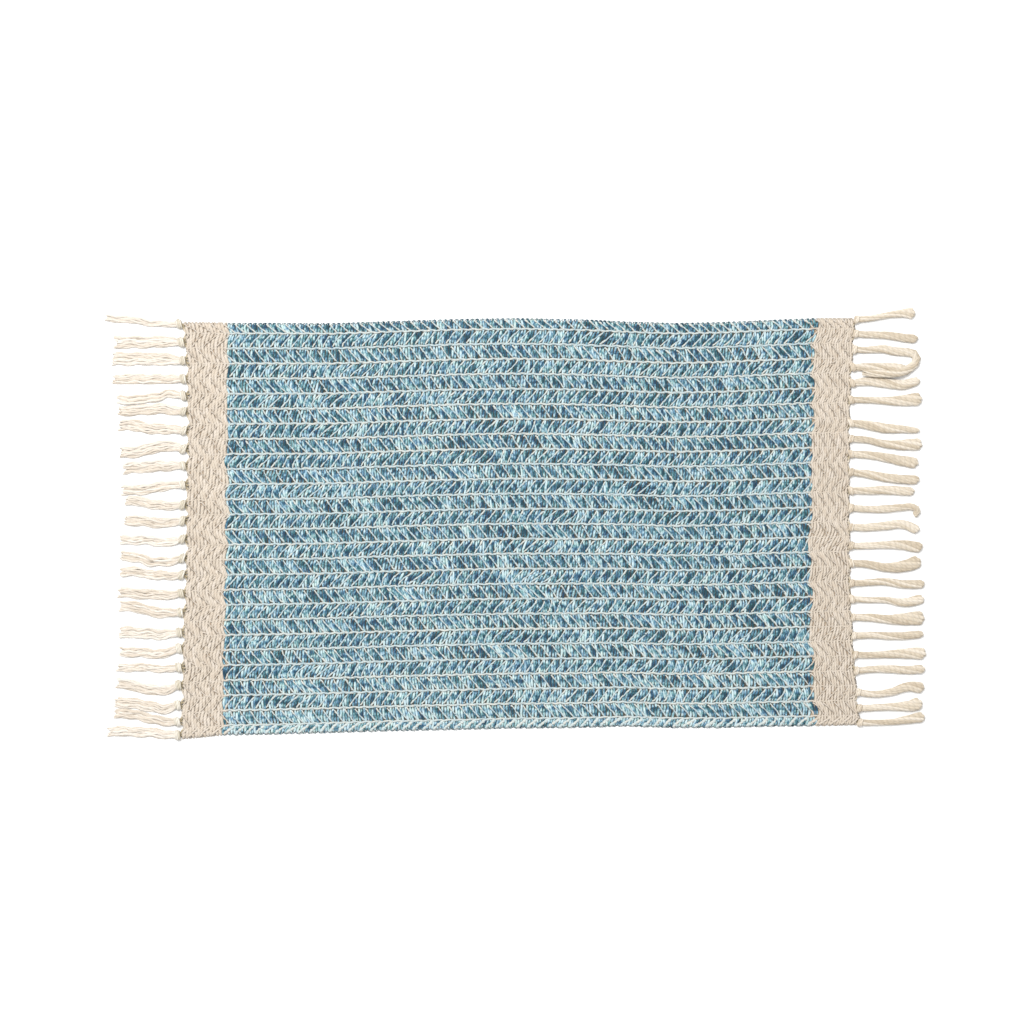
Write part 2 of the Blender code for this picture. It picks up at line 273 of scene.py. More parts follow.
STEPS = 4  # rings of a pick to a row, one at each warp end and one at the line
# How pale a pick shows under a diagonal and one, two and three picks past it: in the middle of a
# row, and nearer its lines. The pick just before a diagonal is deepest, as painted shade beside
# that raised diagonal.
MIDDLE_TONES = [0.3, 0.5, 0.38, 0.22]
SIDE_TONES = [0.45, 0.6, 0.5, 0.3]
LINE_TONE = 0.66
PICK_SIDES = 6
WEFT_PIECES = 3

# All yarn is matt spun cotton. Its fibres give it a soft sheen at grazing angles and no gloss.
COTTON = {
    "Roughness": 0.9,
    "Sheen Weight": 0.25,
    "Sheen Roughness": 0.5,
    "Specular IOR Level": 0.25,
}
TURN = 6.283185  # radians
# How many of each go to a turn round the yarn, to a metre of it, and how unlike two yarns are.
STRANDS = (2.6, 240.0, 7.7)  # soft strands of one ply, some 3 mm wide and 4 mm long
FIBRES = (14.0, 260.0, 40.0)  # fibres, drawn coarse so that they show: half a millimetre by 4 mm
DYE_PATCHES = 170.0  # to a metre of cloth: the two dyes take over from each other every 6 mm
SHADE_DRIFTS = 26.0  # to a metre of yarn: its shade drifts over some 4 cm
SEAMS_MIDDLE = 0.0045  # metres: halfway between the seams of the bands
SEAM_AWAY = (0.346, 0.352)  # metres from there to where the warp's blue fluff ends
CLOTH_MIDDLE = 0.0015  # metres above the floor
DARK_MIDDLE = (0.0003, 0.0013)  # metres from there: little light comes in nearer than this
FIBRE_RELIEF, RELIEF = 0.35, 0.0004  # fibres against plies, and both in metres


def colour_ramp(tree, share, colours):
    """A soft run of sRGB colours, each at a share from 0 to 1."""
    ramp = add(tree, "ShaderNodeValToRGB", {"Fac": share})
    ramp.color_ramp.interpolation = "LINEAR"
    marks = ramp.color_ramp.elements
    for i, (position, colour) in enumerate(colours):
        mark = marks[i] if i < 2 else marks.new(position)
        mark.position = position
        mark.color = linear(colour)
    return ramp.outputs["Color"]


def vector_maths(tree, operation, first, second):
    """The result of one vector math node. SCALE takes a number as its second value."""
    inputs = {0: first, "Scale" if operation == "SCALE" else 1: second}
    return add(tree, "ShaderNodeVectorMath", inputs, operation=operation).outputs[0]


def ranged(tree, value, low, high, to_low=0.0, to_high=1.0):
    """A value taken from one range to another and held inside it."""
    ends = {0: value, 1: low, 2: high, 3: to_low, 4: to_high}
    return add(tree, "ShaderNodeMapRange", ends).outputs[0]


def spun_yarn(name, colours, plies, twist, mix, grime, dark, depth=0.0, dyes=None, band=None):
    """Spun and plied cotton. colours run from its deepest to its palest fibres, as sRGB at shares
    from 0 to 1. plies wind once round it in the length twist, mix is how unlike they are, grime how
    far the shade drifts along a yarn, dark how deep the painted shade in the grooves between plies is,
    and depth how much painted shade darkens it inside the cloth, where little light comes in.
    dyes is a second run of colours that takes over in patches, and band one for the end bands."""
    material, tree, shader = new_material(name, COTTON)
    yarn = add(tree, "ShaderNodeUVMap", uv_map="yarn")
    split = add(tree, "ShaderNodeSeparateXYZ", {0: yarn.outputs["UV"]})
    around, along = split.outputs[0], split.outputs[1]
    tone = add(tree, "ShaderNodeAttribute", attribute_name="tone").outputs["Fac"]
    own = add(tree, "ShaderNodeAttribute", attribute_name="number").outputs["Fac"]
    at = add(tree, "ShaderNodeTexCoord").outputs["Object"]
    turned = maths(tree, "ADD", around, maths(tree, "MULTIPLY", along, 1.0 / twist))
    # The soft strands of a ply differ in shade.
    spun = add(tree, "ShaderNodeCombineXYZ", {0: turned, 1: along, 2: own}).outputs[0]
    strands = add(tree, "ShaderNodeMapping", {"Vector": spun, "Scale": STRANDS}).outputs[0]
    uneven = ranged(tree, noise(tree, strands, 1.0), 0.25, 0.75, -mix, mix)
    pale = maths(tree, "ADD", tone, uneven)
    colour = colour_ramp(tree, pale, colours)
    if dyes:
        share = ranged(tree, noise(tree, at, DYE_PATCHES, Detail=1.0), 0.35, 0.65)
        colour = mixed(tree, share, colour, colour_ramp(tree, pale, dyes))
    if band:
        place_along = add(tree, "ShaderNodeSeparateXYZ", {0: at}).outputs[0]
        away = maths(tree, "ABSOLUTE", maths(tree, "SUBTRACT", place_along, SEAMS_MIDDLE))
        colour = mixed(tree, ranged(tree, away, *SEAM_AWAY), colour, colour_ramp(tree, pale, band))
    # Fibres run along the yarn, and its shade drifts.
    fibres = add(tree, "ShaderNodeMapping", {"Vector": spun, "Scale": FIBRES}).outputs[0]
    fuzz = noise(tree, fibres, 1.0, Roughness=0.6)
    seat = add(tree, "ShaderNodeCombineXYZ", {0: along, 1: own}).outputs[0]
    drift = ranged(tree, noise(tree, seat, SHADE_DRIFTS), 0.25, 0.75, 1 - grime, 1 + grime)
    value = maths(tree, "MULTIPLY", ranged(tree, fuzz, 0.25, 0.75, 0.92, 1.08), drift)
    # The grooves between plies hold the shadow.
    lobes = maths(tree, "COSINE", maths(tree, "MULTIPLY", turned, plies * TURN))
    relief = ranged(tree, lobes, -1.0, 1.0)
    value = maths(tree, "MULTIPLY", value, ranged(tree, relief, 0.0, 0.45, 1 - dark, 1.0))
    if depth:
        # Painted shade: inside the cloth, halfway between its two faces, little light comes in, so the
        # colour is darkened there.
        height = add(tree, "ShaderNodeSeparateXYZ", {0: at}).outputs[2]
        inside = maths(tree, "ABSOLUTE", maths(tree, "SUBTRACT", height, CLOTH_MIDDLE))
        value = maths(tree, "MULTIPLY", value, ranged(tree, inside, *DARK_MIDDLE, 1 - depth, 1.0))
    colour = mixed(tree, 1.0, colour, value, blend_type="MULTIPLY")
    tree.links.new(colour, shader.inputs["Base Color"])
    height = maths(tree, "MULTIPLY_ADD", fuzz, FIBRE_RELIEF, relief)
    bump = add(tree, "ShaderNodeBump", {"Height": height, "Strength": 0.5, "Distance": RELIEF})
    tree.links.new(bump.outputs["Normal"], shader.inputs["Normal"])
    return material


def yarn_tree():
    """Geometry nodes that lay a tube of yarn along each path, with its own width and height at each
    point of the path, and closed ends."""
    tree = bpy.data.node_groups.new("laid_yarn", "GeometryNodeTree")
    for name, kind, way in (
        ("Paths", "NodeSocketGeometry", "INPUT"),
        ("Sides", "NodeSocketInt", "INPUT"),
        ("Material", "NodeSocketMaterial", "INPUT"),
        ("Yarn", "NodeSocketGeometry", "OUTPUT"),
    ):
        tree.interface.new_socket(name, in_out=way, socket_type=kind)
    entry = add(tree, "NodeGroupInput")
    curves = add(tree, "GeometryNodeMeshToCurve", {"Mesh": entry.outputs["Paths"]})
    centre = add(tree, "GeometryNodeInputPosition").outputs[0]
    ahead = add(tree, "GeometryNodeInputTangent").outputs[0]
    beside, wide, high = (
        add(tree, "GeometryNodeInputNamedAttribute", {"Name": name}, data_type=kind).outputs[0]
        for name, kind in (("beside", "FLOAT_VECTOR"), ("wide", "FLOAT"), ("high", "FLOAT"))
    )
    above = vector_maths(tree, "CROSS_PRODUCT", beside, ahead)
    at = add(tree, "GeometryNodeSplineParameter")
    kept = add(tree, "GeometryNodeCaptureAttribute", {0: curves.outputs[0]}, domain="POINT")
    for name in ("centre", "beside", "above"):
        kept.capture_items.new("VECTOR", name)
    kept.capture_items.new("FLOAT", "length")
    for socket, value in zip(kept.inputs[1:5], (centre, beside, above, at.outputs["Length"])):
        tree.links.new(value, socket)
    ring = add(
        tree, "GeometryNodeCurvePrimitiveCircle", {"Resolution": entry.outputs["Sides"], "Radius": 1.0}
    )
    round_it = add(tree, "GeometryNodeCaptureAttribute", {0: ring.outputs[0]}, domain="POINT")
    round_it.capture_items.new("VECTOR", "section")
    tree.links.new(centre, round_it.inputs[1])
    tube = add(
        tree,
        "GeometryNodeCurveToMesh",
        {"Curve": kept.outputs[0], "Profile Curve": round_it.outputs[0], "Fill Caps": True},
    )
    outwards = add(tree, "GeometryNodeFlipFaces", {"Mesh": tube.outputs[0]})
    section = add(tree, "ShaderNodeSeparateXYZ", {0: round_it.outputs[1]})
    out = maths(tree, "MULTIPLY", section.outputs[0], wide)
    up = maths(tree, "MULTIPLY", section.outputs[1], high)
    sideways = vector_maths(tree, "SCALE", kept.outputs[2], out)
    upwards = vector_maths(tree, "SCALE", kept.outputs[3], up)
    corner = vector_maths(tree, "ADD", kept.outputs[1], sideways)
    corner = vector_maths(tree, "ADD", corner, upwards)
    laid = add(
        tree, "GeometryNodeSetPosition", {"Geometry": outwards.outputs[0], "Position": corner}
    )
    lengths = add(
        tree,
        "GeometryNodeStoreNamedAttribute",
        {"Geometry": laid.outputs[0], "Name": "length", "Value": kept.outputs[4]},
        data_type="FLOAT",
        domain="POINT",
    )
    real = add(tree, "GeometryNodeRealizeInstances", {0: lengths.outputs[0]})
    dyed = add(
        tree,
        "GeometryNodeSetMaterial",
        {"Geometry": real.outputs[0], "Material": entry.outputs["Material"]},
    )
    add(tree, "NodeGroupOutput", {"Yarn": dyed.outputs[0]})
    return tree


YARN_TREE = yarn_tree()


def level_beside(centres):
    """The level direction to the right of each path at each of its points."""
    ahead = np.gradient(centres[..., :2], axis=1)
    ahead /= np.linalg.norm(ahead, axis=2, keepdims=True)
    return np.stack([ahead[..., 1], -ahead[..., 0], np.zeros(ahead.shape[:2])], -1)


def lay_yarns(name, centres, wide, high, tones, sides, material, beside=None):
    """One piece of many yarns. centres is an array (yarn, point, 3), and wide and high are their
    half sections at each point, all in millimetres. tones says how pale each yarn is, or each of
    its points, from 0 to 1."""
    count, points = centres.shape[:2]
    beside = level_beside(centres) if beside is None else beside
    mesh = bpy.data.meshes.new(name + "_paths")
    mesh.vertices.add(count * points)
    mesh.vertices.foreach_set("co", (centres * MM).astype(np.float32).ravel())
    numbers = np.arange(count * points).reshape(count, points)
    pairs = np.stack([numbers[:, :-1].ravel(), numbers[:, 1:].ravel()], 1)
    mesh.edges.add(len(pairs))
    mesh.edges.foreach_set("vertices", pairs.ravel())
    for key, values in (
        ("wide", wide * MM),
        ("high", high * MM),
        ("tone", tones if np.ndim(tones) == 2 else np.repeat(tones, points)),
        ("number", np.repeat(np.arange(count), points)),
    ):
        values = np.broadcast_to(values, (count, points)) if np.ndim(values) != 1 else values
        mesh.attributes.new(key, "FLOAT", "POINT").data.foreach_set(
            "value", np.asarray(values, np.float32).ravel()
        )
    mesh.attributes.new("beside", "FLOAT_VECTOR", "POINT").data.foreach_set(
        "vector", np.asarray(beside, np.float32).ravel()
    )
    mesh.update()
    paths = new_object(name + "_paths", mesh)
    modifier = paths.modifiers.new("laid_yarn", "NODES")
    modifier.node_group = YARN_TREE
    sockets = YARN_TREE.interface.items_tree
    modifier[sockets["Sides"].identifier] = sides
    modifier[sockets["Material"].identifier] = material
    graph = bpy.context.evaluated_depsgraph_get()
    made = bpy.data.meshes.new_from_object(paths.evaluated_get(graph))
    made.name = name
    bpy.data.objects.remove(paths)
    made.shade_smooth()
    map_yarns(made, count, sides)
    piece = new_object(name, made)
    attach(piece, "root")
    return piece


def map_yarns(mesh, count, sides):
    """Two UV maps. On yarn, U goes once round each yarn and V is its length in metres; OFBake lays
    the yarns side by side as columns, a little apart."""
    corners = len(mesh.loops)
    vertex = np.empty(corners, np.int32)
    mesh.loops.foreach_get("vertex_index", vertex)
    length = np.empty(len(mesh.vertices), np.float32)
    mesh.attributes["length"].data.foreach_get("value", length)
    number = np.empty(len(mesh.vertices), np.float32)
    mesh.attributes["number"].data.foreach_get("value", number)
    around = (vertex % sides).astype(float)
    starts = np.empty(len(mesh.polygons), np.int32)
    totals = np.empty(len(mesh.polygons), np.int32)
    mesh.polygons.foreach_get("loop_start", starts)
    mesh.polygons.foreach_get("loop_total", totals)
    face = np.repeat(np.arange(len(starts)), totals)
    widest = np.maximum.reduceat(around, starts)[face]
    closing = (totals[face] == 4) & (widest == sides - 1) & (around == 0)
    around[closing] = sides
    around /= sides
    longest = np.zeros(count)
    np.maximum.at(longest, number.round().astype(int), length)
    along = length[vertex]
    column = number[vertex].round()
    margin = 0.08
    sets = {
        "yarn": (around, along),
        "OFBake": (
            (column + margin + (1 - 2 * margin) * around) / count,
            0.001 + 0.998 * along / longest[column.astype(int)],
        ),
    }
    for key, (u, v) in sets.items():
        layer = mesh.uv_layers.new(name=key, do_init=False)
        layer.uv.foreach_set("vector", np.stack([u, v], 1).astype(np.float32).ravel())


def falls(distance, reach):
    """From 0 at an edge to 1 at reach inside it, rounded like a selvedge."""
    share = np.clip(distance / reach, 0.0, 1.0)
    return np.sqrt(1.0 - (1.0 - share) ** 2)


def in_band(pick):
    return (pick < LEFT_PICKS) | (pick >= PICKS - RIGHT_PICKS)


def climb_of(row, quarter):
    """How far right, in picks, a diagonal has moved at a quarter of its row. Rows slant right and
    left by turns, and each starts half a repeat from its neighbours, as a herringbone does."""
    return np.where(row % 2 == 0, quarter, STEPS - quarter + REPEAT // 2)


def past_diagonal(pick, step):
    """How many picks past the nearest diagonal to its left a place is, from 0 to 3."""
    return (pick - LEFT_PICKS - climb_of(step // STEPS, step % STEPS)) % REPEAT


def crossing(pick, step):
    """True where a warp end lies over a pick at a step, counted in quarters of a row."""
    return (past_diagonal(pick, step) == 0) & (step % STEPS != 0)


def shown_tones(pick, step):
    """How pale the plies are that lie on top: deepest just before a diagonal, as painted shade beside
    it, and palest along the lines, with chance values of each lozenge between two diagonals, each
    float in it and each place of a float. They are paler towards the -Y edge."""
    row = np.minimum(step // STEPS, ROWS - 1)
    quarter = step - row * STEPS
    lozenge = (pick - climb_of(row, quarter)) // REPEAT + 2
    chance = 0.15 * LOZENGE_TONES[row, lozenge] + 0.55 * FLOAT_TONES[row, pick]
    chance = chance + 0.5 * PLACE_TONES[step, pick] - 0.56
    seat = np.where(step % STEPS == 2, 0, 1) * REPEAT + past_diagonal(pick, step)
    field = np.array(MIDDLE_TONES + SIDE_TONES)[seat]
    # The rows nearest the -Y edge are paler.
    paler_near_edge = np.interp(row, [0, 1, 7], [0.16, 0.1, 0.0])
    field = chance + paler_near_edge + np.where(step % STEPS == 0, LINE_TONE, field)
    return np.where(in_band(pick), 0.2 * FLOAT_TONES[row, pick] + 0.8 * PLACE_TONES[step, pick], field)


def lay_picks(name, picks, rng, material):
    """The picks of one weft piece, each from its turn at the -Y edge to its turn at the +Y edge."""
    steps = np.arange(ROWS * STEPS + 1)
    rows = steps / STEPS
    pick, step = np.meshgrid(picks, steps, indexing="ij")
    band = in_band(pick)
    under = crossing(pick, step)
    on_line = step % STEPS == 0
    # Beside each diagonal's two ends a pick stays down between the diagonal and the line: a pit.
    pit = on_line & ~band & ((pick - LEFT_PICKS) % 2 == 1)
    chance = FLOAT_TONES[np.minimum(step // STEPS, ROWS - 1), pick] - 0.5
    slack = rng.normal(0.0, np.where(band, BAND_SLACK, FIELD_SLACK)) + FLOAT_SLACK * chance
    along, across = place(pick + 0.5, rows[step])
    # A warp end that lies over the pick holds it near its place.
    along = along + np.where(under, 0.3, 1.0) * slack
    middle = 1.0 - np.abs(rows[step] % 1.0 - 0.5) * 2.0
    nearest = np.minimum(row_share(rows[step]), 1 - row_share(rows[step]))
    edge = falls(nearest * CLOTH_WIDTH, SELVEDGE)
    floats = np.where(band, BAND_PICK_TOP, PICK_TOP + PICK_ARCH * middle)
    floats = floats + rng.normal(0.0, HEIGHT_CHANCE, pick.shape)
    dip = np.where(band, BAND_DIP_TOP, np.where(step % 2 == 1, PIT_EDGE_TOP, DIP_TOP))
    top = np.where(under, dip, floats)
    top = np.where(on_line, np.where(band, BAND_LINE_DIP_TOP, LINE_DIP_TOP), top)
    top = np.where(pit, PIT_TOP, top) * (0.6 + 0.4 * edge)
    foot = np.where(under | on_line, DIP_FOOT, PICK_FOOT) * edge + OFF_FLOOR
    wide = np.where(band, BAND_HALF_WIDTHS[1], PICK_HALF_WIDTH)
    wide = np.where(pick < LEFT_PICKS, BAND_HALF_WIDTHS[0], wide) * (0.9 + 0.18 * middle)
    wide = np.where(under, np.where(band, BAND_DIP_HALF_WIDTH, DIP_HALF_WIDTH), wide)
    wide = wide * rng.normal(1.0, WIDTH_CHANCE, pick.shape)
    wide = np.where(on_line & ~band, LINE_DIP_HALF_WIDTH, wide)
    wide = np.where(pit, PIT_HALF_WIDTH, wide)
    centres = np.stack([along, across, (top + foot) / 2], -1)
    high = (top - foot) / 2
    tones = shown_tones(pick, step)
    # The turn at each edge runs half a pick sideways to meet the next pick's turn.
    for end, sign in ((0, -1.0), (-1, 1.0)):
        way = np.where(picks % 2 == 0, sign, -sign)
        turn = centres[:, end].copy()
        turn[:, 0] += way * TURN_ASIDE
        turn[:, 1] += sign * TURN_OUT
        turn[:, 2] = TURN_HEIGHT
        ends = [turn[:, None], wide[:, [end]] * TURN_WIDE, high[:, [end]] * TURN_HIGH, tones[:, [end]]]
        rest = [centres, wide, high, tones]
        joined = zip(rest, ends) if end else zip(ends, rest)
        centres, wide, high, tones = (np.concatenate(parts, 1) for parts in joined)
    return lay_yarns(name, centres, wide, high, tones, PICK_SIDES, material)


# From the deepest fibres to the palest, for the bluer and the greener patches of dye.
BLUE_PLIES = [
    (0.0, "#22405a"),
    (0.25, "#345c78"),
    (0.5, "#668fa8"),
    (0.75, "#a1c0ce"),
    (1.0, "#bfd5dd"),
]
TEAL_PLIES = [
    (0.0, "#22464f"),
    (0.25, "#35646e"),
    (0.5, "#68959c"),
    (0.75, "#a7c6c6"),
    (1.0, "#c4d8d5"),
]
blue_cotton = spun_yarn(
    "blue_mix_plied_cotton", BLUE_PLIES, 3, 0.03, 0.5, 0.08, 0.14, depth=0.6, dyes=TEAL_PLIES
)
rng = np.random.default_rng(11)
LOZENGE_TONES = rng.random((ROWS, PICKS // REPEAT + 6))
FLOAT_TONES = rng.random((ROWS, PICKS + 4))
PLACE_TONES = rng.random((ROWS * STEPS + 1, PICKS))
for number in range(WEFT_PIECES):
    picks = np.arange(LEFT_PICKS + number, LEFT_PICKS + FIELD_PICKS, WEFT_PIECES)
    piece = lay_picks(f"blue_weft_{number + 1}", picks, rng, blue_cotton)

# The cream weft of the bands
# At each end the weft changes to undyed cotton for some 5 cm, woven in the same herringbone. Its
# plies differ little in shade, so the bands look nearly plain beside the field.
CREAM_PLIES = [(0.0, "#c5b7a6"), (0.5, "#cbbfaf"), (1.0, "#d2c7ba")]
cream_cotton = spun_yarn("undyed_plied_cotton", CREAM_PLIES, 3, 0.011, 0.3, 0.05, 0.15, depth=0.22)
band_picks = np.concatenate([np.arange(LEFT_PICKS), np.arange(PICKS - RIGHT_PICKS, PICKS)])
bands = lay_picks("cream_weft", band_picks, rng, cream_cotton)

# The cream warp
# Thin hard-twisted cotton ends. Each passes over one pick of four, and slants as it crosses, so
# that the three ends of a row join up as the cream diagonals.
END_HALF_WIDTH = 0.92
END_HALF_HEIGHT = 0.5
END_TOP = 3.75
END_SIDE = 2.9
END_UNDER = 0.62
END_SIDES = 4
SLANT = 0.13  # rows that an end climbs as it crosses its pick
MIDDLE_RISE, BAND_SINK = 0.3, 0.2  # a row's middle end lies higher, and all lie lower in the bands
SIDE_WIDER, EDGE_WIDER, BAND_NARROWER = 1.12, 1.9, 0.8  # side ends, the -Y row's, and the bands'
# Fluff from the weft dulls the ends to a bluish cream in the field, and they are cream in the bands.
FIELD_END = [(0.0, "#a9c0c8"), (0.5, "#bdcacb"), (1.0, "#d0d1c9")]
BAND_END = [(0.0, "#c4b6a5"), (0.5, "#cbbfaf"), (1.0, "#d3c8bb")]
warp_cotton = spun_yarn(
    "cream_hard_twisted_cotton", FIELD_END, 2, 0.006, 0.4, 0.06, 0.2, depth=0.45, band=BAND_END
)

# One repeat of an end: picks from the middle of its float, share of the slant, height.
Bend = namedtuple("Bend", "ahead climb height")
END_BENDS = [
    Bend(-0.5, -1.0, END_SIDE),
    Bend(0.0, 0.0, END_TOP),
    Bend(0.5, 1.0, END_SIDE),
    Bend(1.3, 0.6, END_UNDER),
    Bend(2.7, -0.6, END_UNDER),
]


def end_bends(first, bends):
    """Picks, climb and height at each bend of one end that floats over every fourth pick."""
    starts = np.arange(PICKS // REPEAT + 3) * REPEAT + first % REPEAT - REPEAT
    ahead = (starts[:, None] + column_of(bends, "ahead")).ravel() + 0.5
    inside = (ahead > -0.6) & (ahead < PICKS + 0.6)
    height = np.where(inside, np.tile(column_of(bends, "height"), len(starts)), END_UNDER)
    ahead = np.clip(ahead, 0.0, PICKS) + 0.001 * ahead
    return ahead, np.tile(column_of(bends, "climb"), len(starts)), height


def lay_ends(name, ends, rng, material):
    """Warp ends, each given as (row, quarter), over the whole length of the cloth."""
    paths, wides, tones = [], [], []
    for row, quarter in ends:
        slope = 1.0 if row % 2 == 0 else -1.0
        ahead, climb, height = end_bends(LEFT_PICKS + climb_of(row, quarter), END_BENDS)
        rise = MIDDLE_RISE if quarter == 2 else 0.0
        height = height + np.where(height > END_SIDE, rise, 0.0)
        height = height - BAND_SINK * in_band(ahead) * (height > 1)
        rows = row + quarter / STEPS + slope * SLANT * climb
        jitter = rng.normal(0.0, np.where(in_band(ahead), 0.04, 0.025))
        x, y = place(ahead, rows + jitter)
        paths.append(np.stack([x, y, height], 1))
        full = END_HALF_WIDTH * (1.0 if quarter == 2 else SIDE_WIDER) * (EDGE_WIDER if row == 0 else 1.0)
        full = full * np.where(in_band(ahead), BAND_NARROWER, 1.0)
        wides.append(full * rng.normal(1.0, 0.18, len(ahead)))
        # The middle end of a row takes most of the blue fluff, but not along the -Y edge.
        tones.append(rng.uniform(0.0, 0.5) if quarter == 2 and row else rng.uniform(0.5, 1.0))
    centres = np.array(paths)
    wide = np.array(wides)
    high = np.full_like(wide, END_HALF_HEIGHT)
    return lay_yarns(name, centres, wide, high, np.array(tones), END_SIDES, material)


all_ends = [(row, quarter) for row in range(ROWS) for quarter in (1, 2, 3)]
for number in range(2):
    piece = lay_ends(f"cream_warp_{number + 1}", all_ends[number::2], rng, warp_cotton)

# The cream lines
# Between two rows a pair of warp ends lies close together. Each passes over three picks and under
# the fourth, the two by turns, so that they show as one beaded cream line.
LINE_HALF_WIDTH = 1.03
LINE_HALF_HEIGHT = 0.6
LINE_TOP = 3.0
LINE_UNDER = 0.85
LINE_BAND_SINK = 0.5  # the lines lie this much lower in the bands
LINE_SPREAD = 0.03  # rows between an end of the pair and the line's middle
LINE_SIDES = 4
LINE_BENDS = [
    Bend(-1.0, 0.0, 2.85),
    Bend(0.0, 0.0, LINE_TOP),
    Bend(1.0, 0.0, 2.85),
    Bend(1.7, 0.0, 1.9),
    Bend(2.3, 0.0, 1.9),
]


def lay_lines(name, rng, material):
    paths, wides, tones = [], [], []
    for line in range(1, ROWS):
        for side, shift in ((-1.0, 0), (1.0, 2)):
            ahead, _, height = end_bends(LEFT_PICKS + shift, LINE_BENDS)
            height = np.maximum(height, LINE_UNDER) - LINE_BAND_SINK * in_band(ahead) * (height > 1)
            rows = line + side * LINE_SPREAD + rng.normal(0.0, np.where(in_band(ahead), 0.02, 0.006))
            x, y = place(ahead, rows)
            paths.append(np.stack([x, y, height + rng.normal(0.0, 0.06, len(ahead))], 1))
            bead = np.interp(height, [1.9, 2.85, 3.0], [0.65, 0.9, 1.1])
            wides.append(LINE_HALF_WIDTH * bead * rng.normal(1.0, 0.12, len(ahead)))
            tones.append(rng.uniform(0.4, 0.8) + rng.uniform(-0.3, 0.3, len(ahead)))
    centres = np.array(paths)
    wide = np.array(wides)
    high = np.full_like(wide, LINE_HALF_HEIGHT)
    return lay_yarns(name, centres, wide, high, np.array(tones), LINE_SIDES, material)


lines = lay_lines("cream_lines", rng, warp_cotton)

# The loose fringe of the left end
# The warp ends run on past the last pick and are knotted in bundles. Beyond its knot each bundle of
# soft undyed yarns lies loose, keeps the waves of the weave, and is cut by hand to uneven lengths.

# The plies open once they are cut, so the fringe is thicker and fluffier than the warp in the cloth.
# At the cloth's edge and in the knots it is drawn tight, with painted shade deeper in its grooves.
# The gathered ends at the edge carry painted shade, deepest by each knot.
FRINGE_PLIES = [(0.0, "#c9bdad"), (0.5, "#d4cabd"), (1.0, "#ddd6cc")]
GATHERED_SHADE_PLIES = [(0.0, "#a89a7d"), (0.5, "#c4b79f"), (1.0, "#dbd0c0")]
KNOT_PLIES = [(0.0, "#c6bdaa"), (0.5, "#d3cbbb"), (1.0, "#ded8cc")]
# The right knots' cotton is painted paler than their ropes: a painted highlight on the tight turns, over
# the tan of handling.
HANDLED_PAINTED_HIGHLIGHT_PLIES = [(0.0, "#c4b5a0"), (0.5, "#d6c9b6"), (1.0, "#e4dacb")]
fringe_cotton = spun_yarn("undyed_fringe_cotton", FRINGE_PLIES, 2, 0.016, 0.25, 0.05, 0.08)
gathered_shade_cotton = spun_yarn("gathered_cotton_painted_shade", GATHERED_SHADE_PLIES, 2, 0.01, 0.3, 0.08, 0.3)
KNOT_COTTON = {
    "left": spun_yarn("tightly_drawn_cotton", KNOT_PLIES, 2, 0.012, 0.3, 0.04, 0.25),
    "right": spun_yarn("tightly_drawn_cotton_handled", HANDLED_PAINTED_HIGHLIGHT_PLIES, 2, 0.012, 0.3, 0.04, 0.25),
}

NECK = {"left": 7.0, "right": 4.5}  # a bundle leaves its knot this far out from the cloth's end
NECK_WIDTH = {"left": 6.0, "right": 6.5}
NEAR, MIDDLE, FAR = 22.0, 44.0, 63.0
FULLNESS = {"left": 2.2, "right": 1.0}  # the soft outer fibres stand out this much in all
HOOK_TURNS = (90, 30, -30, -90)  # the points of a curled tip, in degrees round its middle
# One long tassel at the right has swung back over its neighbour: its places (out, drift) by root.
DOUBLED_BACK = {
    209: [(38, 1), (53, -2), (67, -3), (76, -6), (78, -12), (71, -21)]
    + [(62, -26), (50, -28.5), (34, -29), (20, -28.5), (12, -27)]
}
OUTWARDS = {"left": -1.0, "right": 1.0}

# A bundle's root is its place across the cloth's end. near, middle, far and tip are how far it has
# drifted sideways from there, reach is its length from the cloth's end, width and spread are its
# width along the way and at the tip, and hook is how far the tip curls back towards -Y.
Bundle = namedtuple("Bundle", "root near middle far tip reach width spread hook")


def smooth(points, count):
    """Steps along a soft curve through the points, whose first two numbers are the plan. They are
    even but for two short ones at the end."""
    points = np.array(points, float)
    gaps = np.linalg.norm(np.diff(points[:, :2], axis=0), axis=1)
    at = np.concatenate([[0.0], gaps.cumsum()])
    slopes = np.gradient(points, at, axis=0)
    where = at[-1] * np.concatenate([np.linspace(0.0, 0.975, count - 2), [0.99, 1.0]])
    leg = np.clip(np.searchsorted(at, where, side="right") - 1, 0, len(gaps) - 1)
    gap = gaps[leg][:, None]
    t = ((where - at[leg]) / gaps[leg])[:, None]
    curve = (2 * t**3 - 3 * t**2 + 1) * points[leg] + (3 * t**2 - 2 * t**3) * points[leg + 1]
    curve += (t**3 - 2 * t**2 + t) * gap * slopes[leg] + (t**3 - t**2) * gap * slopes[leg + 1]
    return curve, where


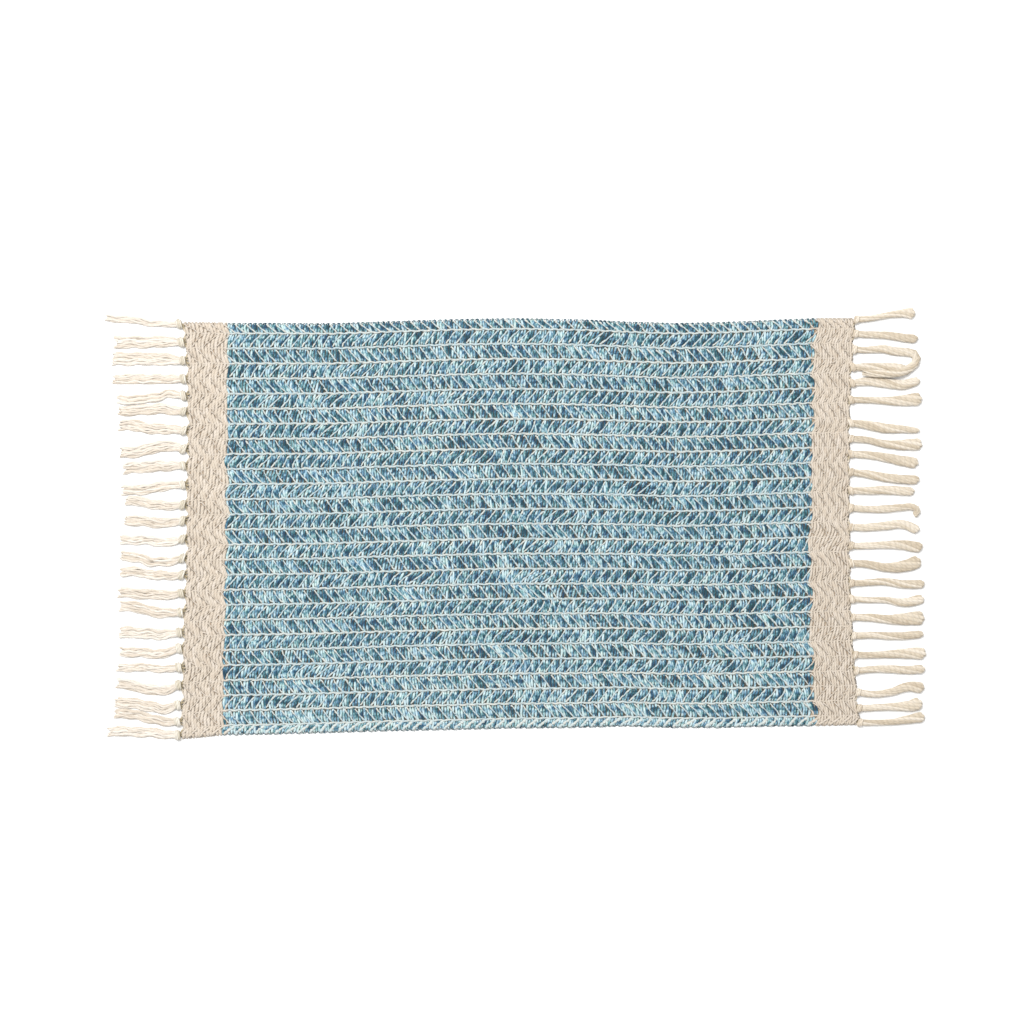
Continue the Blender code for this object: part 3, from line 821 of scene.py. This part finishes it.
def guide_of(bundle, side, count, cut):
    """Places (out, drift), widths, directions to the left and lengths down a bundle's middle, from
    its knot to the tip of a strand that is cut short."""
    points = [
        (NECK[side], 0.0, NECK_WIDTH[side]),
        (NEAR, bundle.near, bundle.width * 0.9),
        (MIDDLE, bundle.middle, bundle.width),
        (FAR, bundle.far, (bundle.width + bundle.spread) / 2),
    ]
    if bundle.root in DOUBLED_BACK:
        points = points[:2] + [(*place, bundle.width * 1.1) for place in DOUBLED_BACK[bundle.root]]
    elif bundle.hook:
        radius = bundle.hook / 2
        centre = bundle.reach - radius - bundle.spread / 2
        for turn in np.radians(HOOK_TURNS):
            out = centre + radius * np.cos(turn)
            points.append((out, bundle.tip - radius + radius * np.sin(turn), bundle.spread))
    else:
        points.append((bundle.reach - cut, bundle.tip, bundle.spread))
    curve, length = smooth(points, count)
    curve[:, 2] = curve[:, 2] * 1.1 + FULLNESS[side]
    ahead = np.gradient(curve[:, :2], length, axis=0)
    ahead /= np.linalg.norm(ahead, axis=1, keepdims=True)
    return curve[:, :2], curve[:, 2], np.stack([-ahead[:, 1], ahead[:, 0]], 1), length


def on_floor(bundle, side, plan, height):
    """A strand's points in millimetres from its places (out, drift)."""
    end = mark_at(bundle.root, side)
    return np.stack([end + OUTWARDS[side] * plan[:, 0], bundle.root + plan[:, 1], height], 1)


# The ends turn aside along the cloth's edge and go, five or six together, into each overhand knot.
# The knot is three turns of yarn drawn tight round the bundle, and the cloth can't unravel past it.
# Distance out, share of the way to the knot's middle, and height of an end at each of its points.
END_GATHERS = [
    (-1.5, 0.0, 1.4),
    (0.3, 0.12, 1.9),
    (1.5, 0.5, 2.0),
    (2.6, 0.85, 2.1),
    (4.0, 0.98, 2.6),
    (6.0, 1.0, 3.0),
]
GATHERED = 0.22  # an end comes this near, as a share of its distance from the knot's middle
KNOT_TURNS = [(4.6, 3.7), (6.3, 4.2), (8.0, 3.6)]  # each turn's distance out and half width
KNOT_MIDDLE, KNOT_HALF_HEIGHT, KNOT_LEAN = 3.5, 2.4, 1.2
KNOT_SIZE = {"left": 1.3, "right": 1.1}
KNOT_POINTS = 13
KNOT_PLACE = {"left": 0.0, "right": -3.2}  # the right knots were tied close up to the cloth


def lay_gathers(side, bundles, rng):
    roots = column_of(bundles, "root")
    rows = [row + quarter / STEPS for row in range(ROWS) for quarter in (1, 2, 3)]
    rows += [line + sign * LINE_SPREAD for line in range(1, ROWS) for sign in (-1.0, 1.0)]
    across = np.sort(place(0 if side == "left" else PICKS, np.array(rows))[1])
    paths, tones = [], []
    for y in across:
        root = roots[np.argmin(np.abs(roots - y))]
        to = root + (y - root) * GATHERED
        out, share, height = np.array(END_GATHERS).T
        out = np.where(out > 0, out * (1 + KNOT_PLACE[side] / NECK["left"]), out)
        aside = y + share * (to - y)
        x = mark_at(aside, side) + OUTWARDS[side] * (out + rng.normal(0, 0.15))
        paths.append(np.stack([x, aside, height + rng.normal(0, 0.12)], 1))
        # Painted shade darkens them towards the knot, where they lie in its shadow.
        tones.append(np.interp(np.abs(aside - root), [3.0, 8.0], [0.0, 1.0]))
    centres = np.array(paths)
    sizes = np.full(centres.shape[:2], 0.95)
    name = side + "_gathered_ends"
    return lay_yarns(name, centres, sizes, sizes * 0.85, np.array(tones), 5, gathered_shade_cotton)


def lay_knots(side, bundles, rng):
    paths, aside = [], []
    for bundle in bundles:
        lean = KNOT_LEAN * (1.0 if rng.random() < 0.7 else -1.0) * rng.uniform(0.6, 1.2)
        big = rng.uniform(0.92, 1.08)
        # A larger knot grows both ways from its middle turn.
        grown = [KNOT_TURNS[1][0] * (KNOT_SIZE[side] - 1), 0]
        for out, half in np.array(KNOT_TURNS) * KNOT_SIZE[side] - grown:
            turn = np.radians(np.linspace(-130, 250, KNOT_POINTS)) + rng.normal(0, 0.1)
            x = out + KNOT_PLACE[side] + lean * np.cos(turn) + np.linspace(-0.5, 0.5, KNOT_POINTS)
            y = bundle.root + half * big * np.cos(turn)
            z = KNOT_MIDDLE + KNOT_HALF_HEIGHT * np.sin(turn) * min(big, 1.0)
            centre = np.stack([mark_at(bundle.root, side) + OUTWARDS[side] * x, y, z], 1)
            ahead = np.gradient(centre, axis=0)
            round_it = np.cross(ahead, np.stack([0 * y, y - bundle.root, z - KNOT_MIDDLE], 1))
            paths.append(centre)
            aside.append(round_it / np.linalg.norm(round_it, axis=1, keepdims=True))
    centres = np.array(paths)
    sizes = np.full(centres.shape[:2], 1.05)
    wide = sizes * KNOT_SIZE[side]
    tones = rng.random(len(paths))
    name, cotton = side + "_knots", KNOT_COTTON[side]
    return lay_yarns(name, centres, wide, sizes * 0.85, tones, 6, cotton, np.array(aside))


LEFT_BUNDLES = [
    Bundle(240, 0, 2, 5, 7, 96, 7, 7, 0),
    Bundle(218, 1, 0, 0, 0, 88, 12, 13, 0),
    Bundle(196, 1, 2, 2, 2, 92, 13, 14, 0),
    Bundle(174, 0, 0, 0, 0, 92, 10, 10, 0),
    Bundle(154, 2, -3, -5, -5, 87, 9, 9, 0),
    Bundle(135, 2, 3, 1, 1, 86, 11, 10, 0),
    Bundle(112, 2, 2, 6, 7, 86, 11, 12, 0),
    Bundle(90, 4, 1, -3, -5, 84, 12, 12, 0),
    Bundle(70, 0, -1, -2, -3, 80, 12, 13, 0),
    Bundle(47, 0, -4, -6, -6, 81, 11, 11, 0),
    Bundle(23, -1, 1, 5, 5, 76, 10, 10, 0),
    Bundle(4, -2, -2, 0, 1, 77, 11, 11, 0),
    Bundle(-18, -4, -2, -1, -1, 82, 10, 10, 0),
    Bundle(-41, -4, -4, 1, 3, 82, 10, 10, 0),
    Bundle(-61, -1, 1, 4, 4, 81, 10, 10, 0),
    Bundle(-83, -2, -1, 0, 1, 83, 11, 11, 0),
    Bundle(-106, -1, 2, 7, 8, 81, 11, 11, 0),
    Bundle(-130, -2, -1, 0, 0, 80, 12, 12, 0),
    Bundle(-149, -6, -6, -5, -4, 79, 10, 10, 0),
    Bundle(-172, -2, 0, 0, 0, 82, 8, 9, 0),
    Bundle(-193, -6, -5, 0, 2, 82, 11, 11, 0),
    Bundle(-217, -5, -1, 2, 3, 83, 11, 11, 0),
    Bundle(-237, 0, 5, 9, 10, 83, 10, 10, 0),
    Bundle(-253, 1, 3, 4, 4, 91, 10, 10, 0),
]
LOOSE_POINTS = 26
LOOSE_HALF, LOOSE_HALF_HEIGHT = 1.4, 0.85
LOOSE_PITCH = 1.7  # of the yarns side by side in a bundle
LOOSE_FREE = 14  # a yarn waves freely, and lies on the floor, this far from its knot
LOOSE_LIFT = 1.3  # every second yarn lies up to this much higher, on its neighbours


def lay_loose(side, bundles, rng):
    paths, wides = [], []
    for bundle in bundles:
        count = max(6, round(bundle.width / LOOSE_PITCH) + 3)
        # Height, pitch and start of the wave that all yarns of the bundle keep from the weave.
        common = (rng.uniform(0.4, 1.0), rng.uniform(24, 36), rng.uniform(0, 6.3))
        seats = (np.arange(count) + 0.5) / count * 2 - 1
        ends = seats[np.argsort(np.arange(count) + rng.normal(0, 0.9, count))]
        for number in range(count):
            cut = rng.uniform(0, 5) if number else 0.0
            plan, width, left, length = guide_of(bundle, side, LOOSE_POINTS, cut)
            share = length / length[-1]
            seat = seats[number] * (1 - share) + ends[number] * share
            grown = np.clip(length / LOOSE_FREE, 0, 1)
            wave = common[0] * np.sin(length * 2 * np.pi / common[1] + common[2])
            own, pitch, start = rng.uniform(0.6, 1.2), rng.uniform(17, 26), rng.uniform(0, 6.3)
            wave += own * np.sin(length * 2 * np.pi / pitch + start)
            offset = np.clip(seat * width / 2 + grown * wave, -width / 2, width / 2)
            offset *= 1 - LOOSE_HALF / (width / 2)
            pitch, start = rng.uniform(30, 50), rng.uniform(0, 6.3)
            lift = (number % 2) * (0.5 + 0.5 * np.sin(length * 2 * np.pi / pitch + start))
            height = LOOSE_HALF_HEIGHT + OFF_FLOOR + LOOSE_LIFT * lift
            height = height * grown + (1 - grown) * KNOT_MIDDLE
            paths.append(on_floor(bundle, side, plan + left * offset[:, None], height))
            taper = np.interp(share, [0, 0.1, 0.96, 0.985, 1.0], [0.75, 1.0, 1.0, 0.8, 0.35])
            wides.append(taper * rng.uniform(0.9, 1.1))
    wide = np.array(wides)
    centres = np.array(paths)
    tones = rng.random(len(paths))
    high = wide * LOOSE_HALF_HEIGHT
    name = side + "_loose_yarns"
    return lay_yarns(name, centres, wide * LOOSE_HALF, high, tones, 7, fringe_cotton)


def lay_fringe(side, bundles, lay_free, solid):
    """The three pieces of one fringe, from the cloth's end to the tips, in place of its solid."""
    pieces = [lay(side, bundles, rng) for lay in (lay_gathers, lay_knots, lay_free)]
    for piece in pieces:
        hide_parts(solid)
    return pieces


fringe = lay_fringe("left", LEFT_BUNDLES, lay_loose, "fringe_left")

# The twisted fringe of the right end
# Here the bundles have been twisted by use, and lie as soft ropes of some seven yarns with blunt
# open tips. One tip has curled back, and one long bundle has swung back over its neighbour.
RIGHT_BUNDLES = [
    Bundle(245, 2, 6, 8, 8, 74, 6, 11, 0),
    Bundle(228, -1, -2, -5, -6, 78, 7, 8, 0),
    Bundle(209, 0, 0, -3, -4, 79, 7, 6, 0),
    Bundle(188, 0, -1, -3, -6, 60, 9, 8, 0),
    Bundle(169, 2, 0, -2, 3, 85, 9, 8, 0),
    Bundle(149, 0, -1, -1, 1, 88, 7, 12, 0),
    Bundle(121, -2, -6, -7, -9, 86, 9, 5, 0),
    Bundle(102, -1, -6, -7, -6, 89, 7, 11, 0),
    Bundle(84, -1, -4, -8, -11, 84, 8, 10, 0),
    Bundle(62, -2, -6, -8, -9, 86, 8, 8, 0),
    Bundle(40, 0, 1, 0, -1, 80, 8, 8, 0),
    Bundle(19, -1, -1, 1, 1, 86, 7, 6, 9),
    Bundle(-4, 0, 2, 4, -3, 86, 8, 8, 0),
    Bundle(-26, 0, 1, 1, -2, 89, 7, 10, 0),
    Bundle(-47, -1, -5, -4, 2, 87, 8, 12, 0),
    Bundle(-71, 1, 2, -1, -1, 91, 7, 8, 0),
    Bundle(-90, -1, -1, -4, 0, 90, 6, 9, 0),
    Bundle(-112, 0, -2, -2, 0, 89, 8, 13, 0),
    Bundle(-134, 1, 0, 0, 2, 87, 7, 7, 0),
    Bundle(-157, 0, 1, 2, 2, 88, 7, 11, 0),
    Bundle(-176, 2, 2, 1, 2, 86, 7, 8, 0),
    Bundle(-202, -2, 1, 7, 6, 83, 7, 10, 0),
    Bundle(-221, 1, 2, 3, 6, 79, 7, 12, 0),
    Bundle(-238, 0, 1, 4, 7, 81, 6, 10, 0),
]
# Handling has left this end's cotton a little tanner.
ROPE_PLIES = [(0.0, "#bbad98"), (0.5, "#cbbfac"), (1.0, "#d9cfc0")]
rope_cotton = spun_yarn("undyed_fringe_cotton_handled", ROPE_PLIES, 2, 0.013, 0.25, 0.05, 0.14)
TIGHT_POINTS = 24
TIGHT_YARNS = 7
TIGHT_HALF, TIGHT_HALF_HEIGHT = 1.6, 1.3
ROPE_MIDDLE, ROPE_RISE = 2.9, 1.25
ROPE_TWIST = 110.0  # millimetres of rope to one turn
TIP_ROUND = 3.4  # the outer yarns of a tip end this much sooner
# The bundle that has swung back climbs over its neighbour and thins out on the way.
SWUNG_SHARES = (0.6, 0.75, 0.95, 1.0)  # of its length
SWUNG_HEIGHTS = (0.0, 4.2, 4.2, 3.4)  # it lies this much higher there
SWUNG_END = 0.5  # share of its size that is left at its tip


def lay_ropes(side, bundles, rng):
    paths, wides = [], []
    for bundle in bundles:
        start = rng.uniform(0, 6.3)
        for number in range(TIGHT_YARNS):
            angle = start + number * 2 * np.pi / TIGHT_YARNS
            at_tip = angle + (bundle.reach - NECK[side]) * 2 * np.pi / ROPE_TWIST
            cut = TIP_ROUND * np.cos(at_tip) ** 2 + rng.uniform(0, 0.8)
            plan, width, left, length = guide_of(bundle, side, TIGHT_POINTS, cut)
            share = length / length[-1]
            turn = angle + length * 2 * np.pi / ROPE_TWIST
            offset = np.cos(turn) * (width / 2 - TIGHT_HALF)
            height = ROPE_MIDDLE + ROPE_RISE * np.sin(turn)
            taper = np.interp(share, [0, 0.1, 0.96, 0.985, 1.0], [0.85, 1.0, 1.15, 1.0, 0.5])
            if bundle.root in DOUBLED_BACK:
                height = height + np.interp(share, SWUNG_SHARES, SWUNG_HEIGHTS)
                taper = taper * np.interp(share, [0.7, 1.0], [1.0, SWUNG_END])
            paths.append(on_floor(bundle, side, plan + left * offset[:, None], height))
            # Where a bundle opens, its yarns open too.
            full = 1 + 0.5 * np.clip((width - 7) / 6, 0, 1)
            wides.append(taper * full * rng.uniform(0.92, 1.08))
    wide = np.array(wides)
    centres = np.array(paths)
    tones = rng.random(len(paths))
    high = np.minimum(wide, 1.15) * TIGHT_HALF_HEIGHT
    name = side + "_twisted_bundles"
    return lay_yarns(name, centres, wide * TIGHT_HALF, high, tones, 7, rope_cotton)


fringe += lay_fringe("right", RIGHT_BUNDLES, lay_ropes, "fringe_right")

# The floor, the light and the camera
# The mat lies on a plain pale floor, under one large soft lamp and pale light from all round. The
# camera looks straight down, as the photograph does.
floor_mesh = bpy.data.meshes.new("floor")
floor_bm = bmesh.new()
bmesh.ops.create_grid(floor_bm, x_segments=1, y_segments=1, size=6.0)
floor_bm.to_mesh(floor_mesh)
floor_bm.free()
floor = new_object("floor", floor_mesh)
# Matt paper without gloss, so that only the mat's soft shadow shows on it.
paper = {"Base Color": (0.93, 0.93, 0.93, 1.0), "Roughness": 1.0, "Specular IOR Level": 0.0}
floor_mesh.materials.append(new_material("pale_floor", paper)[0])

world = bpy.data.worlds.new("studio")
bpy.context.scene.world = world
world.use_nodes = True
world.node_tree.nodes["Background"].inputs["Color"].default_value = (1.0, 1.0, 1.0, 1.0)
world.node_tree.nodes["Background"].inputs["Strength"].default_value = 0.75

key_data = bpy.data.lights.new("key", "AREA")
key_data.energy = 203
key_data.size = 2.15
key = new_object("key", key_data)
key.location = (-1.3, 2.0, 3.8)
key.rotation_euler = (Vector((0, 0, 0)) - key.location).to_track_quat("-Z", "Y").to_euler()

PHOTO_WIDTH = 1.2288
LENS, SENSOR = 100.0, 36.0
camera_data = bpy.data.cameras.new("camera")
camera_data.lens = LENS
camera_data.sensor_width = SENSOR
camera = new_object("camera", camera_data)
camera.location = (-0.0036, 0.0144, PHOTO_WIDTH * LENS / SENSOR)
bpy.context.scene.camera = camera
bpy.context.scene.view_settings.view_transform = "Standard"
